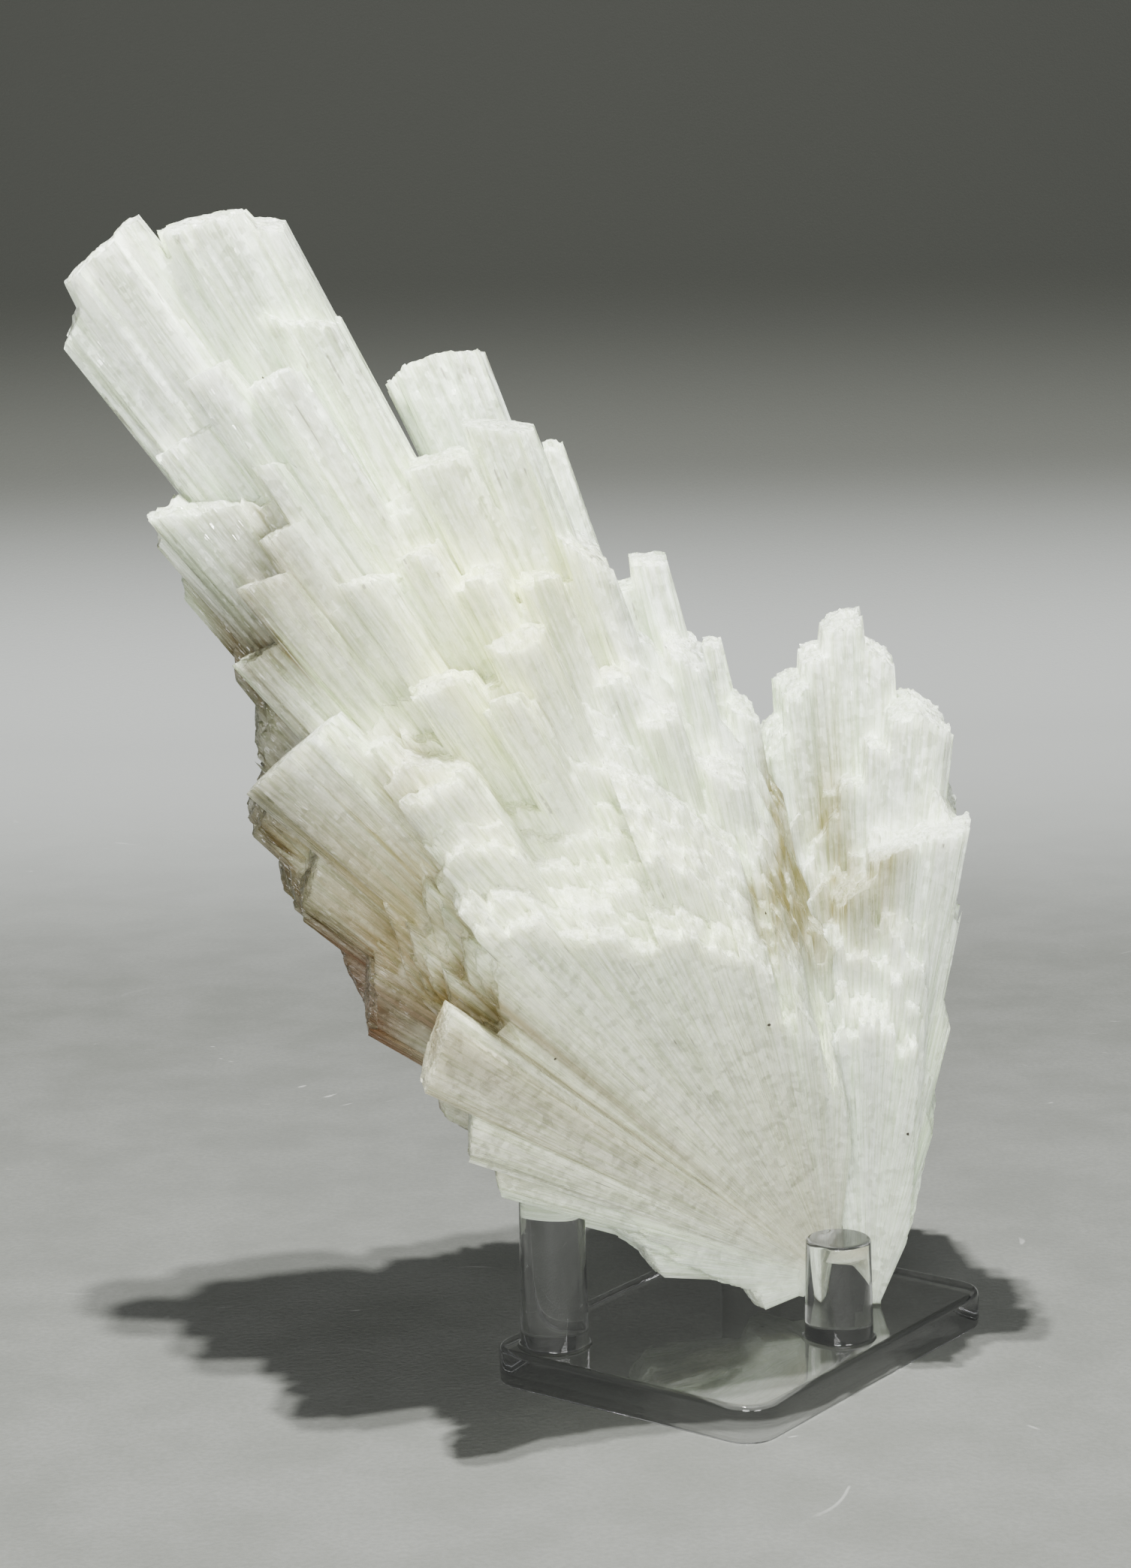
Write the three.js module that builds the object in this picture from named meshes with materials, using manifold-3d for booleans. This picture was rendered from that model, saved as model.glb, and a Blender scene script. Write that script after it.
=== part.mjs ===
// A scolecite specimen: a spray of crystals grown together from one point,
// resting on a small clear stand with three pegs.
// Millimetres, +Z up, origin at the centre of the stand plate's underside.
// Seen from the front (from -Y) the spray leans to the left (-X).

import * as THREE from 'three';
import Module from 'manifold-3d';

const wasm = await Module();
wasm.setup();

const DEG = Math.PI / 180;

// ---------------------------------------------------------------- stand
const PLATE_LENGTH = 50.8; // 2 in
const PLATE_WIDTH = 38.1; // 1 1/2 in
const PLATE_THICKNESS = 4.6;
const PLATE_CORNER_RADIUS = 4;
const PLATE_EDGE_ROUND = 0.7;
const PLATE_TURN = 52.7; // about +Z, degrees
const PEG_FOOT_RADIUS = 4.0; // 5/16 in across, with a little draft
const PEG_TOP_RADIUS = 3.8;
const PEG_RIM_ROUND = 0.35;
const PEG_SIDES = 40;
const PEG_SINK = 0.5; // how far a peg's stock runs into the plate before they are joined
const TALL_PEG = 19.6;
const SHORT_PEG = 12;

// Places of the pegs on the plate before it is turned: along it, across it, height
const PEGS = [
  { x: -20.3, y: 12.7, height: TALL_PEG },
  { x: 20.3, y: 12.7, height: TALL_PEG },
  { x: 0, y: -13.5, height: SHORT_PEG },
];

// ---------------------------------------------------------------- spray
const REST_GAP = 0.3; // clear space between the stone and the stand
const ROOT = new THREE.Vector3(11, 2, 8); // where the main spray starts
const SIDE_ROOT = new THREE.Vector3(15, 4, 0); // where the right-hand spray starts
const ROOT_SHARE = 0.1; // section at the root, as a share of the section at the tip
const TOP_SHARE = 0.8; // flat on a crystal's end inside its bevel, as a share of its section
const BEVEL_SHARE = 0.06; // height of that bevel, as a share of the thinner side
const NUCLEUS = { x: 12, y: 2.5, z: 9.8, radius: 6.2 }; // stony ball the crystals start in
const FINEST = 0.15; // shortest edge kept where crystals meet

// Sections in half widths (x) and half depths (y, +y is the front face).
// A blade: a flat prism with cut-off corners and a shallow groove down its front.
const BLADE = [
  [-1, -0.5],
  [-0.6, -1],
  [0.6, -1],
  [1, -0.5],
  [1, 0.5],
  [0.6, 1],
  [0.15, 1],
  [-0.1, 0.8],
  [-0.3, 1],
  [-0.7, 1],
  [-1, 0.6],
];
// A needle: a six-sided prism.
const NEEDLE = [
  [-1, -0.3],
  [0.1, -1],
  [1, -0.5],
  [1, 0.45],
  [0.2, 1],
  [-1, 0.6],
];

// Crystals that stand out. All angles in degrees.
// lean: from upright towards the left; tilt: towards the front;
// reach: root to tip; wide, deep: the section at the tip;
// slant: how much longer the left side is; nose: how much shorter the front is.
const MAIN_CRYSTALS = [
  // the long slab at the top left: two broad blades with plates behind and below
  { lean: 35.4, tilt: 1, reach: 145, wide: 9, deep: 11, slant: -5, nose: 2 },
  { lean: 33.3, tilt: 1.3, reach: 148.5, wide: 11.2, deep: 11, slant: -1.5, nose: 1.5 },
  { lean: 28.9, tilt: 1, reach: 145, wide: 10, deep: 13, slant: 3, nose: 1.5 },
  { lean: 26.7, tilt: 0.6, reach: 141.5, wide: 5.2, deep: 12, slant: 3, nose: 1.5 },
  { lean: 27.1, tilt: 2, reach: 131, wide: 8, deep: 12, slant: 6, nose: 2 },
  { lean: 31.2, tilt: -3.2, reach: 137, wide: 23, deep: 6, slant: -4, nose: -2 },
  { lean: 31.8, tilt: 0.4, reach: 127, wide: 24, deep: 13, slant: -3, nose: 2 },
  { lean: 31.5, tilt: 3.2, reach: 108, wide: 24, deep: 12, slant: 2, nose: 2 },
  // blades stepping down its face
  { lean: 34.9, tilt: 3.6, reach: 126, wide: 9, deep: 9, slant: 1, nose: 1 },
  { lean: 32.1, tilt: 5, reach: 131, wide: 5.4, deep: 9, slant: 0.5, nose: 1.5 },
  { lean: 29.4, tilt: 5.4, reach: 127, wide: 6.4, deep: 9, slant: 1, nose: 1.5 },
  { lean: 38.2, tilt: 4, reach: 121, wide: 6, deep: 12, slant: -3, nose: 2 },
  { lean: 36.2, tilt: 6, reach: 120, wide: 11, deep: 10, slant: 6, nose: 2 },
  { lean: 39.4, tilt: 1.2, reach: 116, wide: 7, deep: 15, slant: -7, nose: 0 },
  { lean: 31.7, tilt: 7, reach: 119, wide: 3.2, deep: 8, slant: 1, nose: 1 },
  { lean: 33.3, tilt: 8.2, reach: 113, wide: 6, deep: 9, slant: 1, nose: 2 },
  { lean: 35.6, tilt: 9.6, reach: 110, wide: 6, deep: 9, slant: 2, nose: 2 },
  { lean: 30.7, tilt: 9.6, reach: 104, wide: 5.5, deep: 9, slant: 2, nose: 2 },
  { lean: 38.5, tilt: 9.5, reach: 104, wide: 7, deep: 10, slant: 2, nose: 3 },
  // the big rounded slab and the stepped left edge
  { lean: 40.6, tilt: 15.2, reach: 96, wide: 13, deep: 11, slant: 0, nose: 4 },
  { lean: 42, tilt: 6, reach: 98, wide: 8, deep: 15, slant: -6, nose: 4 },
  { lean: 46.5, tilt: 4.6, reach: 91, wide: 8, deep: 15, slant: -3, nose: 4 },
  { lean: 46, tilt: 11, reach: 84, wide: 10, deep: 14, slant: -4, nose: 5 },
  { lean: 50, tilt: 4.7, reach: 83, wide: 6, deep: 15, slant: -6, nose: 4 },
  { lean: 53.3, tilt: 3.6, reach: 71.5, wide: 6, deep: 14, slant: -9, nose: 4 },
  { lean: 52, tilt: 12, reach: 70, wide: 9, deep: 14, slant: -6, nose: 5 },
  { lean: 56.5, tilt: 1.6, reach: 62.5, wide: 5, deep: 13, slant: -6, nose: 4 },
  { lean: 60.2, tilt: 1, reach: 54.5, wide: 5, deep: 16, slant: -6, nose: 4 },
  { lean: 58, tilt: 12, reach: 56, wide: 8, deep: 12, slant: -6, nose: 4 },
  { lean: 64, tilt: 3, reach: 45.5, wide: 5, deep: 16, slant: -5, nose: 4 },
  { lean: 69, tilt: 3, reach: 40, wide: 4.5, deep: 14, slant: -4, nose: 3 },
  // blunt crystals pointing out of the lower front
  { lean: 49, tilt: 31, reach: 70.5, wide: 9.5, deep: 9, slant: -4, nose: 3 },
  { lean: 55.5, tilt: 28, reach: 58, wide: 8, deep: 9, slant: -5, nose: 3 },
  { lean: 61, tilt: 21, reach: 49, wide: 8, deep: 11, slant: -6, nose: 4 },
  // upper right edge, with the clear crystal standing behind it
  { lean: 23.4, tilt: -7, reach: 119, wide: 9, deep: 10, slant: 0, nose: -2 },
  { lean: 20.8, tilt: -8, reach: 119, wide: 4.5, deep: 9, slant: 1, nose: 0 },
  { lean: 24, tilt: 4, reach: 110, wide: 7.6, deep: 10, slant: 1, nose: 2 },
  { lean: 19.9, tilt: 2, reach: 110, wide: 8, deep: 11, slant: 4, nose: 1 },
  { lean: 17.4, tilt: -3, reach: 105.5, wide: 3, deep: 9, slant: 1, nose: 0 },
  { lean: 17.6, tilt: 3, reach: 95, wide: 5, deep: 14, slant: 6, nose: 4 },
  { lean: 15.9, tilt: -4, reach: 86.5, wide: 4, deep: 12, slant: 1, nose: 2 },
  { lean: 13.4, tilt: -2, reach: 89.5, wide: 4.8, deep: 9, slant: 1, nose: 1 },
  { lean: 12.3, tilt: 3, reach: 80, wide: 4.5, deep: 12, slant: 3, nose: 4 },
  { lean: 10, tilt: -4, reach: 78.5, wide: 3, deep: 9, slant: 0, nose: 0 },
  { lean: 8.5, tilt: -1, reach: 71.5, wide: 3.5, deep: 12, slant: 2, nose: 2 },
  { lean: 6.7, tilt: 0, reach: 62, wide: 3.5, deep: 14, slant: 5, nose: 4 },
  // ledges in the middle of the front
  { lean: 24.5, tilt: 8.6, reach: 98, wide: 6, deep: 10, slant: 1, nose: 3 },
  { lean: 21, tilt: 8.4, reach: 95, wide: 5, deep: 10, slant: 1, nose: 3 },
  { lean: 27.2, tilt: 7.6, reach: 103, wide: 5, deep: 10, slant: 1, nose: 3 },
  { lean: 23.8, tilt: 12.6, reach: 92, wide: 7, deep: 10, slant: 1, nose: 4 },
  { lean: 26, tilt: 16.6, reach: 88, wide: 6, deep: 9, slant: 1, nose: 4 },
  { lean: 29.8, tilt: 13.6, reach: 92, wide: 7, deep: 10, slant: 2, nose: 4 },
  { lean: 33.9, tilt: 19.6, reach: 86, wide: 9, deep: 9, slant: 2, nose: 4 },
  { lean: 37, tilt: 15, reach: 91, wide: 7, deep: 9, slant: 1, nose: 4 },
  { lean: 15.9, tilt: 9, reach: 76, wide: 5, deep: 11, slant: 1, nose: 4 },
  { lean: 19.2, tilt: 8, reach: 82, wide: 6, deep: 11, slant: 1, nose: 4 },
  { lean: 11, tilt: 8, reach: 67.5, wide: 5, deep: 11, slant: 3, nose: 4 },
  // short ones towards the right-hand spray
  { lean: 3.6, tilt: 5, reach: 47, wide: 4, deep: 16, slant: 3, nose: 4 },
  { lean: 0, tilt: 5, reach: 40, wide: 4, deep: 14, slant: 3, nose: 4 },
  { lean: -4, tilt: 4, reach: 34, wide: 4, deep: 12, slant: 3, nose: 4 },
  // the foot of the spray, below the root on the left
  { lean: 77, tilt: 2, reach: 24.5, wide: 5, deep: 16, slant: -4, nose: 2 },
  { lean: 92, tilt: 2, reach: 11, wide: 5, deep: 13, slant: -2, nose: 1 },
  // short crystals at the back that lie on the rear peg
  { lean: 28, tilt: -47, reach: 33, wide: 9, deep: 12, slant: 0, nose: -3 },
];

const SIDE_CRYSTALS = [
  { lean: 1.2, tilt: -6, reach: 87, wide: 5, deep: 10, slant: -1, nose: 2 },
  { lean: -1.6, tilt: -6, reach: 83.5, wide: 4, deep: 10, slant: 2, nose: 2 },
  { lean: 3.5, tilt: -5, reach: 83.5, wide: 4, deep: 10, slant: 0, nose: 2 },
  { lean: 5.6, tilt: -3, reach: 80.5, wide: 4, deep: 10, slant: -1, nose: 2 },
  { lean: 7.8, tilt: -3, reach: 75.5, wide: 4, deep: 11, slant: -3, nose: 3 },
  { lean: -3.6, tilt: -2, reach: 77.5, wide: 4, deep: 13, slant: -1, nose: 2 },
  { lean: -6, tilt: -2, reach: 77, wide: 4.5, deep: 13, slant: 2, nose: 2 },
  { lean: -8.2, tilt: -1, reach: 68, wide: 3.5, deep: 13, slant: 4, nose: 2 },
  { lean: -10, tilt: 0, reach: 57.5, wide: 3, deep: 14, slant: 3, nose: 3 },
  { lean: -11.4, tilt: 1, reach: 45, wide: 3, deep: 13, slant: 5, nose: 3 },
  { lean: -14, tilt: 1, reach: 32, wide: 3, deep: 12, slant: 5, nose: 3 },
  { lean: 10.5, tilt: 0, reach: 56, wide: 5, deep: 14, slant: -3, nose: 3 },
  // the fan lying over its lower front
  { lean: -7.5, tilt: 5, reach: 65, wide: 7, deep: 9, slant: -2, nose: 3 },
  { lean: -2.5, tilt: 6, reach: 63, wide: 6, deep: 9, slant: -2, nose: 3 },
  { lean: 2, tilt: 7, reach: 58.5, wide: 5, deep: 9, slant: -3, nose: 3 },
  { lean: 6, tilt: 7, reach: 54, wide: 5, deep: 9, slant: -3, nose: 3 },
];

// How far each spray reaches at each lean, for the sheets of needles between the crystals
const MAIN_OUTLINE = [
  [-4, 30],
  [3, 44],
  [8, 64],
  [15, 80],
  [20, 100],
  [28, 128],
  [35, 128],
  [41, 98],
  [48, 79],
  [56, 55],
  [64, 41],
  [73, 27],
  [90, 9],
];
// The same for the sheets that lie over the front of the main spray
const FRONT_OUTLINE = [
  [-4, 30],
  [3, 46],
  [8, 61],
  [15, 75],
  [20, 84],
  [25, 90],
  [30, 95],
  [35, 102],
  [40, 98],
  [48, 80],
  [56, 56],
  [64, 41],
  [73, 28],
  [90, 10],
];
const SIDE_OUTLINE = [
  [-18, 24],
  [-14, 32],
  [-11, 44],
  [-7, 68],
  [0, 76],
  [8, 66],
  [12, 52],
];

// Sheets of needles: tilt and height of the sheet, its share of the outline,
// the most that it reaches, and the step in lean from one bundle to the next
const BACK_SHEETS = [
  { tilt: -32, high: 10, share: 0.52, most: 50, step: 11 },
  { tilt: -22, high: 11, share: 0.63, most: 75, step: 9 },
  { tilt: -12, high: 10, share: 0.76, most: 92, step: 8 },
  { tilt: -2, high: 10, share: 0.93, most: 108, step: 9 },
];
const FRONT_SHEETS = [
  { tilt: 8, high: 7, share: 0.94, most: 108, step: 6.5 },
  { tilt: 15, high: 7, share: 0.86, most: 108, step: 6 },
  { tilt: 22, high: 8, share: 0.77, most: 108, step: 6.5 },
  { tilt: 27.5, high: 7, share: 0.7, most: 108, step: 8 },
];
const SIDE_SHEETS = [
  { tilt: -28, high: 10, share: 0.95, most: 60, step: 8 },
  { tilt: -18, high: 12, share: 1, most: 68, step: 7 },
  { tilt: -7, high: 12, share: 1, most: 73, step: 6.5 },
  { tilt: 4, high: 7, share: 0.86, most: 60, step: 5.5 },
  { tilt: 12, high: 7, share: 0.76, most: 54, step: 5.5 },
  { tilt: 19, high: 8, share: 0.68, most: 49, step: 7 },
];
const BUNDLE_SHORTEN = [0, 0.07, 0.02, 0.1, 0.04]; // how much of the reach each in turn gives up

// ---------------------------------------------------------------- shapes

/** Closed triangle mesh through rings of points, with flat ends. */
function loft(rings) {
  const count = rings[0].length;
  const points = rings.flat();
  const faces = [];
  for (let level = 0; level + 1 < rings.length; level++) {
    for (let i = 0; i < count; i++) {
      const a = level * count + i;
      const b = level * count + ((i + 1) % count);
      faces.push([a, b, b + count], [a, b + count, a + count]);
    }
  }
  const last = (rings.length - 1) * count;
  for (let i = 1; i + 1 < count; i++) {
    faces.push([0, i + 1, i], [last, last + i, last + i + 1]);
  }
  return { points, faces };
}

/** A solid that can be joined and cut, from points and triangles. */
function solid({ points, faces }) {
  const mesh = new wasm.Mesh({
    numProp: 3,
    vertProperties: Float32Array.from(points.flatMap((p) => [p.x, p.y, p.z])),
    triVerts: Uint32Array.from(faces.flat()),
  });
  mesh.merge();
  return new wasm.Manifold(mesh);
}

/** Height at a place along a broken line of [place, height] pairs. */
function along(line, place) {
  if (place <= line[0][0]) return line[0][1];
  for (let i = 1; i < line.length; i++) {
    const [x0, y0] = line[i - 1];
    const [x1, y1] = line[i];
    if (place <= x1) return y0 + ((y1 - y0) * (place - x0)) / (x1 - x0);
  }
  return line[line.length - 1][1];
}

/**
 * One crystal: a prism that widens from the root to its tip,
 * with a flat sloping end inside a narrow bevel.
 */
function crystal(root, section, { lean, tilt, reach, wide, deep, slant, nose }) {
  const sinLean = Math.sin(lean * DEG);
  const cosLean = Math.cos(lean * DEG);
  const sinTilt = Math.sin(tilt * DEG);
  const cosTilt = Math.cos(tilt * DEG);
  const axis = new THREE.Vector3(-sinLean * cosTilt, -sinTilt, cosLean * cosTilt);
  const across = new THREE.Vector3(cosLean, 0, sinLean);
  const front = new THREE.Vector3().crossVectors(across, axis);
  const bevel = BEVEL_SHARE * Math.min(wide, deep);

  // Across, front and axis make a left-handed set, so each ring is listed backwards
  // to turn the faces outwards.
  const ring = (share, height, sloped) =>
    section.toReversed().map(([x, y]) => {
      const end = sloped ? -0.5 * (slant * x + nose * y) : 0;
      return root
        .clone()
        .addScaledVector(across, 0.5 * wide * share * x)
        .addScaledVector(front, 0.5 * deep * share * y)
        .addScaledVector(axis, height + end * share);
    });

  return loft([
    ring(ROOT_SHARE, 1, false),
    ring(1, reach - bevel, true),
    ring(TOP_SHARE, reach, true),
  ]);
}

/**
 * Sheets of needles that fill a spray between the named crystals, bundle by bundle.
 * The ends slope along with the outline, and each bundle steps a little from the next.
 */
function bundles(root, outline, sheets) {
  const first = outline[0][0];
  const last = outline[outline.length - 1][0];
  const packed = [];
  for (const { tilt, high, share, most, step } of sheets) {
    const level = (lean) => Math.min(along(outline, lean) * share, most);
    for (let lean = first + step / 2; lean < last; lean += step) {
      const reach = level(lean) * (1 - BUNDLE_SHORTEN[packed.length % BUNDLE_SHORTEN.length]);
      const slant = 0.7 * (level(lean + step / 2) - level(lean - step / 2));
      const nose = 0.02 * reach * Math.sign(tilt);
      const wide = reach * step * DEG * 1.12;
      const deep = reach * high * DEG * 1.2;
      packed.push(solid(crystal(root, NEEDLE, { lean, tilt, reach, wide, deep, slant, nose })));
    }
  }
  return packed;
}

/** Join a list of solids into one. */
function join(solids) {
  return wasm.Manifold.union(solids);
}

/** The largest body of a solid, without loose crumbs and closed pockets. */
function largest(body) {
  const bodies = body.decompose().sort((a, b) => b.volume() - a.volume());
  return bodies[0];
}

/** Stand plate before it is turned: a rounded rectangle with softened edges. */
function plate() {
  const ring = (inset, z) => {
    const radius = PLATE_CORNER_RADIUS - inset;
    const points = [];
    for (let corner = 0; corner < 4; corner++) {
      const cx = (corner === 0 || corner === 3 ? 1 : -1) * (PLATE_LENGTH / 2 - PLATE_CORNER_RADIUS);
      const cy = (corner < 2 ? 1 : -1) * (PLATE_WIDTH / 2 - PLATE_CORNER_RADIUS);
      for (let step = 0; step <= 6; step++) {
        const angle = (corner + step / 6) * 90 * DEG;
        points.push(
          new THREE.Vector3(cx + radius * Math.cos(angle), cy + radius * Math.sin(angle), z),
        );
      }
    }
    return points;
  };
  const r = PLATE_EDGE_ROUND;
  const softened = [0, 30, 60, 90].map((turn) => ({
    inset: r * (1 - Math.sin(turn * DEG)),
    rise: r * (1 - Math.cos(turn * DEG)),
  }));
  const lower = softened.map(({ inset, rise }) => ring(inset, rise));
  const upper = softened.map(({ inset, rise }) => ring(inset, PLATE_THICKNESS - rise)).reverse();
  return loft([...lower, ...upper]);
}

/** Round stock standing at (x, y) between two heights, with its own radius at each. */
function post(x, y, levels) {
  return loft(
    levels.map(({ z, radius }) =>
      Array.from({ length: PEG_SIDES }, (_, i) => {
        const angle = (i / PEG_SIDES) * 360 * DEG;
        return new THREE.Vector3(x + radius * Math.cos(angle), y + radius * Math.sin(angle), z);
      }),
    ),
  );
}

/** The ball at the root: many-sided, smaller towards its two ends. */
function nucleus({ x, y, z, radius }) {
  const turns = [15, 45, 75, 105, 135, 165].map((turn) => turn * DEG).reverse();
  const rings = turns.map((turn) => {
    const share = Math.sin(turn);
    return Array.from({ length: 9 }, (_, i) => {
      const angle = (i / 9) * 360 * DEG;
      return new THREE.Vector3(
        x + radius * share * Math.cos(angle),
        y + radius * share * Math.sin(angle),
        z + radius * Math.cos(turn),
      );
    });
  });
  return loft(rings);
}

/** A peg of the stand, tapered, with a softened rim. */
function peg({ x, y, height }) {
  const top = PLATE_THICKNESS + height;
  return post(x, y, [
    { z: PLATE_THICKNESS - PEG_SINK, radius: PEG_FOOT_RADIUS },
    { z: PLATE_THICKNESS, radius: PEG_FOOT_RADIUS },
    { z: top - PEG_RIM_ROUND, radius: PEG_TOP_RADIUS },
    { z: top, radius: PEG_TOP_RADIUS - PEG_RIM_ROUND },
  ]);
}

/** The room a peg and the gap around it take out of the stone. */
function pegRoom({ x, y, height }) {
  return post(x, y, [
    { z: 0, radius: PEG_FOOT_RADIUS + REST_GAP },
    { z: PLATE_THICKNESS + height + REST_GAP, radius: PEG_TOP_RADIUS + REST_GAP },
  ]);
}

/** The room the plate takes: everything up to just above its top face. */
function plateRoom() {
  return post(0, 0, [
    { z: -60, radius: 90 },
    { z: PLATE_THICKNESS + REST_GAP, radius: 90 },
  ]);
}

/** Triangles with every edge shorter than a length closed up, end onto end. */
function withoutSlivers(positions, triangles, shortest) {
  const at = (i) => new THREE.Vector3().fromArray(positions, 3 * i);
  const facesOf = new Map();
  const faces = new Map();
  for (let t = 0; t < triangles.length; t += 3) {
    const face = [triangles[t], triangles[t + 1], triangles[t + 2]];
    faces.set(t, face);
    for (const i of face) {
      if (!facesOf.has(i)) facesOf.set(i, new Set());
      facesOf.get(i).add(t);
    }
  }
  const around = (i) => new Set([...facesOf.get(i)].flatMap((t) => faces.get(t)));

  const closeUp = (keep, drop) => {
    const shared = [...around(keep)].filter((i) => around(drop).has(i));
    if (shared.length !== 4) return false; // the two ends and the two corners beside them
    for (const t of [...facesOf.get(drop)]) {
      const face = faces.get(t);
      if (face.includes(keep)) {
        for (const i of face) facesOf.get(i).delete(t);
        faces.delete(t);
      } else {
        face[face.indexOf(drop)] = keep;
        facesOf.get(keep).add(t);
        facesOf.get(drop).delete(t);
      }
    }
    return true;
  };

  let changed = true;
  while (changed) {
    changed = false;
    for (const [t, face] of [...faces]) {
      for (let k = 0; k < 3 && faces.has(t); k++) {
        const keep = face[k];
        const drop = face[(k + 1) % 3];
        if (at(keep).distanceTo(at(drop)) < shortest && closeUp(keep, drop)) changed = true;
      }
    }
  }
  return [...faces.values()].flat();
}

/** A named mesh from a finished solid, with a material of its own. */
function namedMesh(name, body, look) {
  const { vertProperties, triVerts } = body.getMesh();
  const geometry = new THREE.BufferGeometry();
  geometry.setAttribute('position', new THREE.BufferAttribute(vertProperties, 3));
  geometry.setIndex(withoutSlivers(vertProperties, triVerts, FINEST));
  const material = new THREE.MeshStandardMaterial({ ...look, flatShading: true });
  const mesh = new THREE.Mesh(geometry, material);
  mesh.name = name;
  return mesh;
}

// ---------------------------------------------------------------- assembly

const turned = (body) => body.rotate([0, 0, PLATE_TURN]);
const stand = turned(join([solid(plate()), ...PEGS.map((place) => solid(peg(place)))]));
const standRoom = join([solid(plateRoom()), turned(join(PEGS.map((place) => solid(pegRoom(place)))))]);

const mainSpray = join([
  solid(nucleus(NUCLEUS)),
  ...MAIN_CRYSTALS.map((place) => solid(crystal(ROOT, BLADE, place))),
  ...bundles(ROOT, MAIN_OUTLINE, BACK_SHEETS),
  ...bundles(ROOT, FRONT_OUTLINE, FRONT_SHEETS),
]);
const sideSpray = join([
  ...SIDE_CRYSTALS.map((place) => solid(crystal(SIDE_ROOT, NEEDLE, place))),
  ...bundles(SIDE_ROOT, SIDE_OUTLINE, SIDE_SHEETS),
]);
const spray = largest(join([mainSpray, sideSpray]).subtract(standRoom));

const part = new THREE.Group();
part.name = 'scolecite_specimen';
part.add(
  namedMesh('scolecite_spray', spray, { color: 0xe6e6da, roughness: 0.45, metalness: 0 }),
  namedMesh('peg_stand', stand, {
    color: 0xd6d8de,
    roughness: 0.08,
    metalness: 0,
    transparent: true,
    opacity: 0.45,
  }),
);

export default part;
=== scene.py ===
# %% [markdown]
# # A scolecite spray on a clear peg stand
#
# Scolecite grows as thin square prisms that all start from one point and spread out like a
# fan. The prisms grow together side by side, so the whole spray is one solid stone with
# long straight faces, stepped ends and a frosted bloom on every broken tip. The spray here
# lies on a small moulded stand of clear acrylic. The lesson builds both, then lights them.

import math

import bpy
import numpy as np
from mathutils import Matrix, Vector


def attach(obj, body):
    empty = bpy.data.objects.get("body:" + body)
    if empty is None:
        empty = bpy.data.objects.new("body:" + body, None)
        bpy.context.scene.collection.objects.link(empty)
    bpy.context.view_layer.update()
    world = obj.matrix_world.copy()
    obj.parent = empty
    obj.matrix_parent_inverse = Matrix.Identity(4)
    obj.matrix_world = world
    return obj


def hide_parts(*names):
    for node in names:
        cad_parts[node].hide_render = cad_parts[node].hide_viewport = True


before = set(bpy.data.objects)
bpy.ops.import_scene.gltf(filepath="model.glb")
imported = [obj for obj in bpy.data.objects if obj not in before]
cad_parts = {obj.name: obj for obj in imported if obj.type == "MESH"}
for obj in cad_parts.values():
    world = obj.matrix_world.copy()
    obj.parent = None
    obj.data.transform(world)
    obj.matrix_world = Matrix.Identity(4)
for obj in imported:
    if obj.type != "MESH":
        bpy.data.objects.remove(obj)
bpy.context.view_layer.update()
MM = 0.001
print("frame nodes:", sorted(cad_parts))

# %% [markdown]
# ## Directions in the spray
#
# Every crystal points away from its root, so a crystal is placed by two angles and a length:
# how far it *leans* from upright towards the left, how far it *tilts* towards the front, and
# how far it *reaches*. Because all of them start at the root, the skin of the whole spray is
# a star-shaped surface: each direction meets it once. That makes it a function of two
# parameters, and one grid of directions gives a closed stone with no walls inside it, which
# is what light needs to glow through it. Loose prisms pushed through each other would look
# right from outside, but every hidden wall would stop the light.

# %% Roots and directions
MAIN_ROOT = np.array([11.0, 2.0, 8.0])  # mm
SIDE_ROOT = np.array([15.0, 4.0, 0.0])
PLATE_TOP = 4.6
REST_GAP = 0.3


def direction(lean, tilt):
    """Unit vector for a lean and a tilt in degrees:
    x = -sin lean cos tilt, y = -sin tilt, z = cos lean cos tilt."""
    lean, tilt = np.radians(lean), np.radians(tilt)
    return np.stack([-np.sin(lean) * np.cos(tilt), -np.sin(tilt), np.cos(lean) * np.cos(tilt)], axis=-1)


def stretched(spacings):
    """Grid lines from (start, step) pairs: each step holds until the next start."""
    lines = []
    for (start, step), (stop, _) in zip(spacings, spacings[1:]):
        lines.append(np.arange(start, stop - step / 2, step))
    lines.append([spacings[-1][0]])
    return np.concatenate(lines)


print("straight up:", direction(0, 0), " left:", direction(90, 0).round(3))

# %% [markdown]
# ## The crystals that can be told apart
#
# On the stone some crystals stand out: two broad blades at the top left, smaller blades
# stepping down their face, a rounded slab half way down, a clear crystal standing behind. They
# could be sculpted, but a table is quicker to read and to correct: each row is one crystal, and
# the part's solids are made from almost the same rows. *Slant* is how much longer the left side is,
# *nose* how much shorter the front is, *ragged* how uneven the broken end is, in millimetres.

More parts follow.
